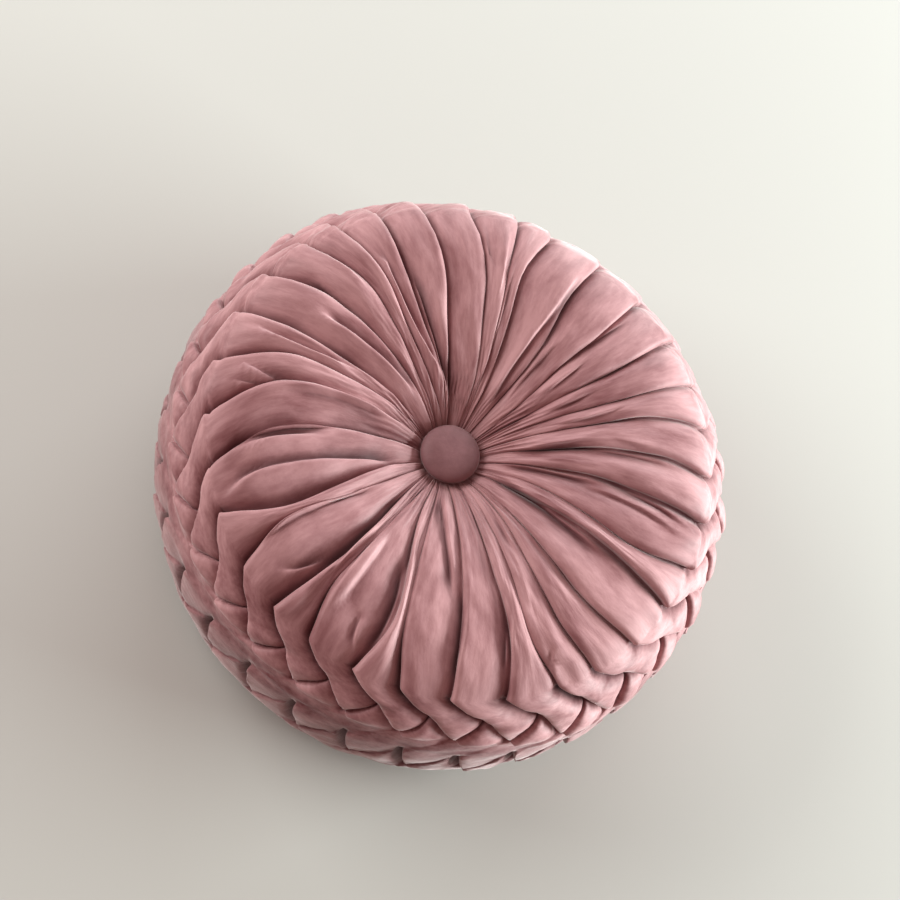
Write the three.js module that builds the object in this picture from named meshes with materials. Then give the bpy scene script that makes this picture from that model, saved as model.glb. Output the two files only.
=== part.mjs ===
// Round velvet cushion. Both faces are gathered into a button, and the side band is smocked
// into a lattice of folded strips. It lies on its back on z = 0, with its front face up.
// Millimetres. X points right and Y up on the front face, and angles run counter-clockwise.
import * as THREE from "three";

// Driving dimensions
const FOLD_COUNT = 32;
const FOLD_PITCH = 360 / FOLD_COUNT;
const FIRST_FOLD = 7.25; // degrees
const SEAT_HEIGHT = 103; // the gathered centre under the front button
const BACK_SEAT_HEIGHT = 24;
const SEAT_RADIUS = 18.5;
const BUTTON_RADIUS = 20;
const BUTTON_GAP = 0.3;
const GATHER_X = -4.2; // the front button sits a little off the middle
const GATHER_Y = 2.6;
const GATHER_REACH = 120;
const OVAL = 0.008; // share by which it is narrower along X, and wider along Y, than round

// The side band has five rows of strips. Strips of the first, third and fifth row lean one way
// and the others lean back, and a row is crossed by two half cells of the lattice.
const BAND_ROWS = 5;
const LEAN = 1.2; // folds that a first-row strip moves round while it crosses its row
const TURN = 0.5; // folds, times the bend's peak of about a half: a strip's turn as it leaves the face
const STRAY_ROWS = 1; // rows over which uneven folds of the face become an even lattice

// Where the folds are sampled, as a share of one fold: crest, middle and trough
const SAMPLES = [0.03, 0.45, 0.9];
const CREST_SHARE = 0.4; // how much of a fold's height lies above the cushion's mean surface
const FOLD_BULGE = 1.7; // how full a fold stays between its crest and its trough
const STEEPEST = 0.35; // most height of a fold against its width
const SLOPE_STEP = 0.01; // stretch of the section over which its slope is measured

// Section from the front gather out over the face, down the side and in to the back gather.
// at is -1 to 0 on the front face, 0 to 5 down the rows of the side, and 5 to 6 on the back.
const SECTION = [
  { at: -1, r: SEAT_RADIUS, z: SEAT_HEIGHT },
  { at: -0.97, r: 21, z: 105 },
  { at: -0.92, r: 27, z: 110 },
  { at: -0.8, r: 41, z: 118 },
  { at: -0.62, r: 67, z: 127 },
  { at: -0.42, r: 98, z: 133 },
  { at: -0.22, r: 130, z: 134.5 },
  { at: -0.08, r: 152, z: 131 },
  { at: 0, r: 164, z: 125.5 },
  { at: 0.5, r: 172.5, z: 116.5 },
  { at: 1, r: 179, z: 106.5 },
  { at: 2, r: 184.3, z: 83.5 },
  { at: 2.5, r: 185.3, z: 70 },
  { at: 3, r: 184.7, z: 56.5 },
  { at: 4, r: 180, z: 29.5 },
  { at: 4.5, r: 174.5, z: 17.5 },
  { at: 5, r: 164, z: 7.5 },
  { at: 5.15, r: 149, z: 0 },
  { at: 5.3, r: 132, z: -5 },
  { at: 5.6, r: 95, z: -5 },
  { at: 5.75, r: 72, z: 0 },
  { at: 5.88, r: 48, z: 10 },
  { at: 5.96, r: 29, z: 20 },
  { at: 6, r: SEAT_RADIUS, z: BACK_SEAT_HEIGHT },
];

// Height of the long folds: pleats on the faces, and the strips of rows one, three and five
const LONG_FOLDS = [
  { at: -1, height: 0 },
  { at: -0.97, height: 1.5 },
  { at: -0.85, height: 4 },
  { at: -0.5, height: 7 },
  { at: -0.2, height: 8 },
  { at: 0, height: 12 },
  { at: 0.25, height: 15 },
  { at: 0.6, height: 10 },
  { at: 1, height: 7 },
  { at: 1.35, height: 0 },
  { at: 1.7, height: 0 },
  { at: 2, height: 8 },
  { at: 2.25, height: 12 },
  { at: 2.6, height: 9 },
  { at: 3, height: 6 },
  { at: 3.35, height: 0 },
  { at: 3.7, height: 0 },
  { at: 4, height: 8 },
  { at: 4.25, height: 12 },
  { at: 4.6, height: 9 },
  { at: 5, height: 7 },
  { at: 5.5, height: 6 },
  { at: 5.9, height: 4 },
  { at: 6, height: 0 },
];

// Height of the cross folds: the strips of rows two and four, which lie over the ends of the rest
const CROSS_FOLDS = [
  { at: -1, height: 0 },
  { at: 0.3, height: 0 },
  { at: 0.6, height: 6 },
  { at: 1, height: 7 },
  { at: 1.35, height: 5 },
  { at: 1.7, height: 0 },
  { at: 2.3, height: 0 },
  { at: 2.6, height: 6 },
  { at: 3, height: 7 },
  { at: 3.35, height: 5 },
  { at: 3.7, height: 0 },
  { at: 6, height: 0 },
];

// Degrees by which each fold of the front face strays from its even place, on its way from the
// shoulder at the rim, over three rings of the face, to its root under the button
const FOLDS = [
  { shoulder: 1.2, outer: 4.7, middle: 5, inner: 5.2, root: 5.2 },
  { shoulder: 0.5, outer: 0.6, middle: 1.1, inner: 1.4, root: 2 },
  { shoulder: -0.2, outer: -1.5, middle: -1.8, inner: -2.9, root: -3.8 },
  { shoulder: 0.5, outer: 0, middle: -0.3, inner: -4.5, root: -8 },
  { shoulder: 1.5, outer: 3, middle: -0.2, inner: -2.2, root: -3.2 },
  { shoulder: 3, outer: 7, middle: 5, inner: 1, root: -2.5 },
  { shoulder: -0.2, outer: 0, middle: -1.5, inner: -5, root: -8.5 },
  { shoulder: -0.3, outer: -4.2, middle: -6.5, inner: -12, root: -15 },
  { shoulder: -0.2, outer: -2.7, middle: -2.2, inner: -3, root: -5 },
  { shoulder: -1.2, outer: -1.7, middle: -3, inner: -9, root: -14 },
  { shoulder: -2.7, outer: -6, middle: -6.7, inner: -11, root: -20 },
  { shoulder: -3, outer: -11, middle: -13.2, inner: -15, root: -19 },
  { shoulder: -3.7, outer: -11, middle: -15.4, inner: -20, root: -22 },
  { shoulder: -3.5, outer: -6.9, middle: -9.8, inner: -13.2, root: -15 },
  { shoulder: -3.2, outer: -11, middle: -14.3, inner: -18.7, root: -21 },
  { shoulder: -1.5, outer: -13, middle: -17, inner: -20, root: -25 },
  { shoulder: -0.2, outer: -9.2, middle: -12.2, inner: -12.8, root: -14.7 },
  { shoulder: -1, outer: 3, middle: 1.8, inner: -1, root: -2.5 },
  { shoulder: 0.7, outer: -5, middle: -3.7, inner: -1.7, root: -1.2 },
  { shoulder: 0.3, outer: 1.8, middle: 3, inner: 2, root: 0.5 },
  { shoulder: -0.5, outer: -5, middle: -4.2, inner: -2, root: 3.5 },
  { shoulder: -0.7, outer: 3.2, middle: 1, inner: -3, root: -1 },
  { shoulder: -0.7, outer: -4.7, middle: -6, inner: -6, root: -4.7 },
  { shoulder: -1, outer: -1, middle: 0.5, inner: 2, root: 0 },
  { shoulder: 0, outer: 2.2, middle: 3.7, inner: 4.2, root: 5.2 },
  { shoulder: 1.5, outer: -2.5, middle: -0.2, inner: 2.5, root: 4.5 },
  { shoulder: -0.5, outer: -3.7, middle: -2.4, inner: 1.7, root: 4.7 },
  { shoulder: -0.7, outer: -4.5, middle: -4, inner: -2, root: 0 },
  { shoulder: 0.2, outer: 1.7, middle: 3.7, inner: 4.7, root: 5.7 },
  { shoulder: -0.2, outer: -3.8, middle: -1.2, inner: 2.5, root: 3.5 },
  { shoulder: 0.5, outer: 2.2, middle: 5.2, inner: 5.2, root: 4.2 },
  { shoulder: 0.5, outer: 4.3, middle: 6.5, inner: 6, root: 5 },
];
const STATIONS = [
  { at: -1, place: "root" },
  { at: -0.75, place: "inner" },
  { at: -0.5, place: "middle" },
  { at: -0.25, place: "outer" },
  { at: 0, place: "shoulder" },
];

// Rings of the faces, on the same scale as the section
const FRONT_RINGS = [
  -1, -0.97, -0.93, -0.87, -0.79, -0.7, -0.6, -0.5, -0.4, -0.31, -0.23, -0.16, -0.1, -0.05,
];
const BACK_RINGS = [5.08, 5.18, 5.3, 5.45, 5.6, 5.72, 5.82, 5.9, 5.96, 6];

// Button section from its flat seat to the top of its dome
const BUTTON_SECTION = [
  { r: 0, z: 0 },
  { r: 16, z: 0 },
  { r: 19.3, z: 2.2 },
  { r: BUTTON_RADIUS, z: 4.8 },
  { r: 18.8, z: 7.6 },
  { r: 15.5, z: 9.6 },
  { r: 10, z: 11 },
  { r: 5, z: 11.5 },
  { r: 0, z: 11.6 },
];
const BUTTON_SIDES = 32;

const velvet = new THREE.MeshStandardMaterial({ color: 0xa67a78, roughness: 0.9, metalness: 0 });
const buttonVelvet = new THREE.MeshStandardMaterial({ color: 0x9a6a6c, roughness: 0.92, metalness: 0 });

// A smooth curve through one column of a table whose rows are placed by their at
function curveThrough(rows, column) {
  const slope = rows.map((row, i) => {
    const before = rows[Math.max(i - 1, 0)];
    const after = rows[Math.min(i + 1, rows.length - 1)];
    return (after[column] - before[column]) / (after.at - before.at);
  });
  return (at) => {
    const next = rows.findIndex((row, i) => i > 0 && (at <= row.at || i === rows.length - 1));
    const from = rows[next - 1];
    const to = rows[next];
    const span = to.at - from.at;
    const t = THREE.MathUtils.clamp((at - from.at) / span, 0, 1);
    const rise = to[column] - from[column];
    const start = slope[next - 1] * span;
    const end = slope[next] * span;
    const curl = (start - rise) * (1 - t) + (rise - end) * t;
    return from[column] + rise * t + t * (1 - t) * curl;
  };
}

const sectionRadius = curveThrough(SECTION, "r");
const sectionHeight = curveThrough(SECTION, "z");
const longFoldHeight = curveThrough(LONG_FOLDS, "height");
const crossFoldHeight = curveThrough(CROSS_FOLDS, "height");
const foldStrays = FOLDS.map((fold) =>
  curveThrough(STATIONS.map(({ at, place }) => ({ at, stray: fold[place] })), "stray"));

const wrap = (i) => ((i % FOLD_COUNT) + FOLD_COUNT) % FOLD_COUNT;
const shareOf = (place) => place - Math.floor(place);

// Degrees by which the cloth at a place, counted in folds, strays from its even angle
function strayAt(place, at) {
  const k = Math.floor(place);
  const share = shareOf(place);
  const onFace = Math.min(at, 0);
  const here = foldStrays[wrap(k)](onFace);
  const next = foldStrays[wrap(k + 1)](onFace);
  const fade = at < 0 ? 1 : 1 - THREE.MathUtils.smoothstep(at, 0, STRAY_ROWS);
  return (here + (next - here) * share) * fade;
}

// Width in mm of the face's cloth between one fold and the next
function foldWidth(place, at) {
  const k = Math.floor(place);
  const onFace = Math.min(at, 0);
  const degrees = FOLD_PITCH + foldStrays[wrap(k + 1)](onFace) - foldStrays[wrap(k)](onFace);
  return THREE.MathUtils.degToRad(degrees) * sectionRadius(at);
}

// One fold of unit height from its crest down to its trough, with zero at the mean surface
const foldSection = (place) => CREST_SHARE - Math.pow(shareOf(place), FOLD_BULGE);

// Height of the folded cloth over the mean surface. long and cross count the lattice's lines.
function relief(long, cross, at) {
  const steepest = at < 0 ? STEEPEST * foldWidth(long, at) : Infinity;
  const longHeight = Math.max(0, Math.min(longFoldHeight(at), steepest));
  const crossHeight = Math.max(0, crossFoldHeight(at));
  return longHeight * foldSection(long) + crossHeight * foldSection(cross);
}

// The point of the cover at a row of the section and a place round it, counted in folds
function coverPoint(at, place, height) {
  const r = sectionRadius(at);
  const z = sectionHeight(at);
  const outward = new THREE.Vector2(
    sectionHeight(at - SLOPE_STEP) - sectionHeight(at + SLOPE_STEP),
    sectionRadius(at + SLOPE_STEP) - sectionRadius(at - SLOPE_STEP),
  ).normalize();
  const round = THREE.MathUtils.degToRad(FIRST_FOLD + FOLD_PITCH * place + strayAt(place, at));
  const reach = (r + outward.x * height) * (1 - OVAL * Math.cos(2 * round));
  const pull = at < 0 ? Math.pow(Math.max(0, 1 - (r / GATHER_REACH) ** 2), 2) : 0;
  return new THREE.Vector3(
    reach * Math.cos(round) + GATHER_X * pull,
    reach * Math.sin(round) + GATHER_Y * pull,
    Math.max(0, z + outward.y * height),
  );
}

// How far round, in folds, the lattice has moved at a row of the side
function latticeDrift(row) {
  const bend = row < 1 ? Math.sin(Math.PI * row) ** 2 * (1 - row) : 0;
  return LEAN * row + TURN * bend;
}

// The filled cover: rings of the front face, the side's lattice, and rings of the back
function coverGeometry() {
  const columns = FOLD_COUNT * SAMPLES.length;
  const halfRows = 2 * BAND_ROWS * SAMPLES.length;
  const lineAt = (i) => Math.floor(i / SAMPLES.length) + SAMPLES[i % SAMPLES.length];
  const points = [];
  const faces = [];
  const ring = (row, column) => 1 + row * columns + (column % columns);

  const addRing = (pointAt) => {
    for (let column = 0; column < columns; column++) points.push(pointAt(column));
  };
  const addFaceRing = (at, drift) => addRing((column) => {
    const place = lineAt(column);
    return coverPoint(at, place + drift, relief(place, 0, at));
  });
  const addBand = (row, column) => {
    faces.push([ring(row, column), ring(row + 1, column), ring(row + 1, column + 1)]);
    faces.push([ring(row, column), ring(row + 1, column + 1), ring(row, column + 1)]);
  };

  points.push(new THREE.Vector3(GATHER_X, GATHER_Y, SEAT_HEIGHT));
  FRONT_RINGS.forEach((at) => addFaceRing(at, 0));
  const latticeRow = FRONT_RINGS.length;
  for (let half = 0; half <= halfRows; half++)
    addRing((column) => {
      const long = lineAt(column);
      const cross = lineAt(column + half);
      const row = (cross - long) / 2;
      return coverPoint(row, long + latticeDrift(row), relief(long, cross, row));
    });
  BACK_RINGS.forEach((at) => addFaceRing(at, latticeDrift(BAND_ROWS)));
  const lastRow = latticeRow + halfRows + BACK_RINGS.length;
  points.push(new THREE.Vector3(0, 0, BACK_SEAT_HEIGHT));
  const backCentre = points.length - 1;

  for (let column = 0; column < columns; column++) {
    faces.push([0, ring(0, column), ring(0, column + 1)]);
    for (let row = 0; row < latticeRow; row++) addBand(row, column);
    for (let half = 0; half <= halfRows; half++) {
      const row = latticeRow + half;
      const left = ring(row, column);
      const right = ring(row, column + 1);
      if (half < halfRows) faces.push([left, ring(row + 1, column), right]);
      if (half > 0) faces.push([left, right, ring(row - 1, column + 1)]);
    }
    for (let row = latticeRow + halfRows; row < lastRow; row++) addBand(row, column);
    faces.push([backCentre, ring(lastRow, column + 1), ring(lastRow, column)]);
  }

  const geometry = new THREE.BufferGeometry().setFromPoints(points);
  geometry.setIndex(faces.flat());
  geometry.computeVertexNormals();
  return geometry;
}

// A covered button, its seat at z = 0 and its dome up
function buttonGeometry() {
  const outline = BUTTON_SECTION.map(({ r, z }) => new THREE.Vector2(r, z));
  return new THREE.LatheGeometry(outline, BUTTON_SIDES).rotateX(Math.PI / 2);
}

function named(name, geometry, material) {
  const mesh = new THREE.Mesh(geometry, material);
  mesh.name = name;
  return mesh;
}

const cushion = new THREE.Group();
cushion.add(named("cover", coverGeometry(), velvet));

const frontButton = named("button_front", buttonGeometry(), buttonVelvet);
frontButton.position.set(GATHER_X, GATHER_Y, SEAT_HEIGHT + BUTTON_GAP);
cushion.add(frontButton);

const backButton = named("button_back", buttonGeometry(), buttonVelvet);
backButton.rotation.x = Math.PI;
backButton.position.z = BACK_SEAT_HEIGHT - BUTTON_GAP;
cushion.add(backButton);

export default cushion;
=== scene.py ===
# The looks of a round velvet cushion that lies on its back: a pleated and smocked cover, with a
# covered button in the middle of each face. Tables and lengths here are in millimetres, and
# angles in degrees run counter-clockwise round the front face, from its right-hand side.
import math
from collections import namedtuple

import bpy
import numpy as np
from mathutils import Matrix, Vector


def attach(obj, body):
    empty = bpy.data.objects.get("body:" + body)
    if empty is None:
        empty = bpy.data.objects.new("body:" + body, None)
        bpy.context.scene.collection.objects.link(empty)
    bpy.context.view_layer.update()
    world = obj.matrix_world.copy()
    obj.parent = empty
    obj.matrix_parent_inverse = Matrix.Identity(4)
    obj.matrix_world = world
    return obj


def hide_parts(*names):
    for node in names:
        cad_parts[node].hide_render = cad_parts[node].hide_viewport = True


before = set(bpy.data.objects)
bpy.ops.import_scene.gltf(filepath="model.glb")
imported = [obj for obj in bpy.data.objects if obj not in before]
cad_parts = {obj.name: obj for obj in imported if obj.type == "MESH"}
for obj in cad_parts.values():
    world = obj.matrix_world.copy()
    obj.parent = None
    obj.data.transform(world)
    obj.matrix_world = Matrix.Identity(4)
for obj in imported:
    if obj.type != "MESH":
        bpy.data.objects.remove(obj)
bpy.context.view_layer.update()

MM = 0.001

# Driving dimensions of the cover, as in the solids
FOLD_COUNT = 32
FOLD_PITCH = 360 / FOLD_COUNT
FIRST_FOLD = 7.25
SEAT_HEIGHT = 103
BACK_SEAT_HEIGHT = 24
SEAT_RADIUS = 18.5
BUTTON_GAP = 0.3
GATHER_X = -4.2
GATHER_Y = 2.6
GATHER_REACH = 120
OVAL = 0.008
BAND_ROWS = 5
STRAY_ROWS = 1
SLOPE_STEP = 0.01
# Lengths along the face, along one row of the side, and round the side from fold to fold
FACE_LENGTH = 160
ROW_LENGTH = 25
PITCH_LENGTH = 35

# A point of the cover has a station: -1 to 0 over the front face, 0 to 5 down the rows of the
# side, and 5 to 6 over the back. Its at is where that lies on the section, as the lattice, the
# shoulder and the sag of the side set it.

# The lattice of the side: at each station, the row of the section where its knots lie, and how
# far round they have drifted, in folds
Lattice = namedtuple("Lattice", "at row drift")
LATTICE = [
    Lattice(0, 0, 0),
    Lattice(0.08, 0.1, 0.17),
    Lattice(0.24, 0.31, 0.45),
    Lattice(0.47, 0.61, 0.75),
    Lattice(0.75, 0.97, 1),
    Lattice(1, 1.27, 1.2),
    Lattice(1.25, 1.68, 1.31),
    Lattice(1.5, 2.06, 1.4),
    Lattice(1.75, 2.8, 1.52),
    Lattice(2, 3.5, 1.68),
    Lattice(2.25, 3.9, 1.88),
    Lattice(2.5, 4.2, 2.08),
    Lattice(3, 4.5, 2.36),
    Lattice(4, 4.75, 2.8),
    Lattice(5, 5, 3.4),
]
# Where the knots of the side sag most, by how many rows, and the station where the sag ends
SAG_ANGLE = 297
SAG_BREADTH = 17
SAG_ROWS = 0.5
SAG_END = 2.5
# Where the shoulder stands furthest out, how many rows of the side the face takes there, and
# the stations where it starts to and where the side has made up for it
SHOULDER_ANGLE = 72
SHOULDER_BREADTH = 62
SHOULDER_ROWS = 1.45
SHOULDER_START = -0.3
SHOULDER_END = 3
# Where the folds of the face lie flatter, and by how much
Flat = namedtuple("Flat", "angle breadth share")
FLATS = [
    Flat(35, 60, 0.42),
    Flat(287, 32, 0.5),
]
# How much further down its slope a flat fold's foot lies, where the flatness ends, how high a
# fold of the face may be against its width, and the least height that is divided by
FLAT_FOOT = 0.1
FLAT_END = 0.06
STEEPEST = 0.36
LEAST_HEIGHT = 0.1

# Section from the front gather out over the face, down the side and in to the back gather. What
# would pass below 0 lies flat on the floor.
Section = namedtuple("Section", "at r z")
SECTION = [
    Section(-1, SEAT_RADIUS, SEAT_HEIGHT),
    Section(-0.97, 21, 105),
    Section(-0.92, 27, 110),
    Section(-0.8, 41, 118),
    Section(-0.62, 67, 127),
    Section(-0.42, 98, 133),
    Section(-0.22, 130, 134.5),
    Section(-0.08, 152, 131),
    Section(0, 164, 125.5),
    Section(0.5, 172.5, 116.5),
    Section(1, 179, 106.5),
    Section(2, 187.4, 83.5),
    Section(2.5, 189.2, 70),
    Section(3, 189.2, 56.5),
    Section(4, 185, 29.5),
    Section(4.5, 179, 17.5),
    Section(5, 167, 7.5),
    Section(5.15, 149, 0),
    Section(5.3, 132, -5),
    Section(5.6, 95, -5),
    Section(5.75, 72, 0),
    Section(5.88, 48, 10),
    Section(5.96, 29, 20),
    Section(6, SEAT_RADIUS, BACK_SEAT_HEIGHT),
]

# Folds that run from the front gather over the face and lean round the side: their height from
# trough to crest, the share of it that stands over the mean surface, the radius of their rolled
# edge, how far the edge hangs over the trough, how much deeper the slit under it is, the share
# of a fold where its slope ends, and how full the slope is. Their at is a station.
Fold = namedtuple("Fold", "at height over roll overhang slit foot fullness")
LONG_FOLDS = [
    Fold(-1, 0, 0.25, 0, 0, 0, 0.95, 2),
    Fold(-0.97, 2, 0.25, 0.6, 0.2, 0.6, 0.95, 2),
    Fold(-0.85, 4.5, 0.25, 1.6, 0.5, 1.4, 0.92, 1.8),
    Fold(-0.5, 7, 0.25, 3, 0.9, 2.6, 0.89, 2),
    Fold(-0.2, 7.5, 0.25, 3.8, 0.9, 3, 0.88, 2.2),
    Fold(-0.04, 7.5, 0.26, 3.6, 0.8, 3, 0.88, 2.6),
    Fold(0.05, 9, 0.22, 3, 0.8, 3, 0.88, 3),
    Fold(0.14, 13, 0.16, 2.2, 0.6, 4, 0.87, 3),
    Fold(0.27, 15, 0.13, 2, 0.6, 4, 0.85, 3),
    Fold(0.4, 13, 0.16, 2, 0.8, 3, 0.88, 3.2),
    Fold(0.55, 9, 0.24, 2, 1.2, 3, 0.92, 3.6),
    Fold(0.8, 7, 0.36, 2, 1.2, 4, 0.92, 4),
    Fold(0.96, 6, 0.45, 2, 1, 4, 0.92, 4),
    Fold(1.03, 2, 0.45, 1, 0.4, 1, 0.93, 3),
    Fold(1.08, 0, 0.4, 0, 0, 0, 0.95, 2),
    Fold(1.46, 0, 0.3, 0, 0, 0, 0.92, 3),
    Fold(1.52, 1.4, 0.4, 1, 0.4, 3, 0.92, 2.6),
    Fold(1.6, 2, 0.4, 1.4, 0.6, 9, 0.915, 2.4),
    Fold(1.85, 2.2, 0.35, 1.4, 0.6, 9, 0.915, 2.4),
    Fold(1.97, 2, 0.3, 1.4, 0.6, 3, 0.92, 2.4),
    Fold(2.04, 1, 0.3, 1, 0.3, 1, 0.93, 2.4),
    Fold(2.12, 0, 0.3, 0, 0, 0, 0.95, 2),
    Fold(2.44, 0, 0.3, 0, 0, 0, 0.9, 3),
    Fold(2.56, 4, 0.3, 2, 0.6, 1, 0.9, 3.2),
    Fold(3, 5, 0.25, 2, 0.6, 1, 0.9, 3),
    Fold(4, 6, 0.25, 2, 0.8, 1, 0.92, 2.4),
    Fold(5, 5, 0.3, 2, 0.2, 1, 0.95, 2.4),
    Fold(5.5, 6, 0.25, 2, 0, 1, 0.95, 2.4),
    Fold(5.9, 3, 0.25, 1, 0, 0.5, 0.95, 2),
    Fold(6, 0, 0.25, 0, 0, 0, 0.95, 2),
]
# Folds across them, which close the pockets of the side
CROSS_FOLDS = [
    Fold(-1, 0, 0.4, 0, 0, 0, 0.95, 2),
    Fold(0.49, 0, 0.4, 0, 0, 0, 0.95, 2),
    Fold(0.56, 4, 0.3, 2, 0.8, 0.8, 0.95, 4),
    Fold(0.8, 5.4, 0.34, 3, 1.4, 2, 0.94, 4.4),
    Fold(0.95, 5.4, 0.42, 3, 1.2, 2, 0.94, 4),
    Fold(1, 3.6, 0.44, 2.6, 0.6, 0.8, 0.95, 3),
    Fold(1.05, 1.4, 0.46, 1.4, 0.2, 0.1, 0.95, 2),
    Fold(1.14, 0.7, 0.46, 0.7, 0.1, 0, 0.95, 2),
    Fold(1.45, 0.6, 0.46, 0.6, 0.1, 0, 0.95, 2),
    Fold(1.6, 1.2, 0.4, 1.2, 0.3, 0.3, 0.95, 2),
    Fold(1.95, 1.8, 0.35, 1.8, 0.4, 0.4, 0.95, 2.4),
    Fold(2.08, 1, 0.3, 1, 0.3, 0.3, 0.95, 2),
    Fold(2.35, 0, 0.3, 0, 0, 0, 0.95, 2),
    Fold(6, 0, 0.4, 0, 0, 0, 0.95, 2),
]
# Shares of a fold where its rolled edge ends, where the wall of the next fold begins, and over
# which the slit deepens. Below FULL_FOLD a fold is too low to roll over.
ROLL_SHARE = 0.146
WALL_SHARE = 0.956
SLIT_SHARE = 0.12
FULL_FOLD = 2
# A rolled edge's reach, at most, as a share of its fold's width and of its height, and how far
# the foot of a slope lies under the next edge, as a share of that edge's reach
ROLL_OUT_MOST = 0.2
ROLL_UP_MOST = 0.6
UNDER_ROLL = 0.3

# How folds differ from one to the next: in height, and on the face in fullness, up to a little
# past the shoulder
FOLD_SEED = 3
HIGHER = (0.8, 1.2)
FULLER = (0.8, 1.3)
FULLER_END = 0.1
# In rows, where folds have taken up their lean round the side and where they lose it again, and
# how near the side's last row they stop hanging over. Cross folds turn back by two folds a row.
LEAN_START = 0.3
LEAN_END = 4.7
HANG_END = 0.1
CROSS_TURNS = 2
# Least drop in millimetres that counts as down the side
LEAST_DROP = 0.1
# Near a long fold's edge the cross folds give way to it: the height at which that edge counts
# in full, the share of a fold that is near it, and the share of their height that they lose
EDGE_HEIGHT = 4
EDGE_SHARE = 0.22
EDGE_LOSS = 0.6

# Degrees by which each fold of the front face strays from its even place, at five places of
# the section
Stray = namedtuple("Stray", "shoulder outer middle inner root")
STRAY_AT = Stray(0, -0.25, -0.5, -0.75, -1)
STRAYS = [
    Stray(1.2, 4.7, 5, 5.2, 5.2),
    Stray(0.5, 0.6, 1.1, 1.4, 2),
    Stray(0.4, -0.6, -0.8, -1.9, -2.8),
    Stray(0.5, 0, -0.3, -4.5, -8),
    Stray(1.5, 3, -0.2, -2.2, -3.2),
    Stray(3, 7, 5, 1, -2.5),
    Stray(-0.2, 0, -1.5, -5, -8.5),
    Stray(-0.3, -4.2, -6.5, -12, -15),
    Stray(-0.2, -2.7, -2.2, -3, -5),
    Stray(-1.2, -1.7, -3, -9, -14),
    Stray(-2.7, -6, -6.7, -11, -20),
    Stray(-5.4, -11.2, -13.2, -15, -19),
    Stray(-5, -11.4, -15.4, -20, -22),
    Stray(-5, -7.4, -9.8, -13.2, -15),
    Stray(-3.2, -11, -14.3, -18.7, -21),
    Stray(-1.5, -13, -17, -20, -25),
    Stray(-0.2, -9.2, -12.2, -12.8, -14.7),
    Stray(-1, 3, 1.8, -1, -2.5),
    Stray(0.7, -5, -3.7, -1.7, -1.2),
    Stray(0.3, 1.8, 3, 2, 0.5),
    Stray(-0.5, -5, -4.2, -2, 3.5),
    Stray(-0.7, 3.2, 1, -3, -1),
    Stray(-0.7, -4.7, -6, -6, -4.7),
    Stray(-1, 0.4, 1.8, 2.6, 1),
    Stray(0.2, 3.4, 4.1, 5.6, 8.5),
    Stray(1.5, -2.5, -0.2, 2.5, 4.5),
    Stray(-0.5, -3.7, -2.4, 1.7, 4.7),
    Stray(-0.7, -4.5, -4, -2, 0),
    Stray(0.2, 1.7, 3.7, 4.7, 5.7),
    Stray(-0.2, -3.8, -1.2, 2.5, 3.5),
    Stray(0.5, 2.2, 5.2, 5.2, 4.2),
    Stray(0.5, 4.3, 6.5, 6, 5),
]

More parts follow.
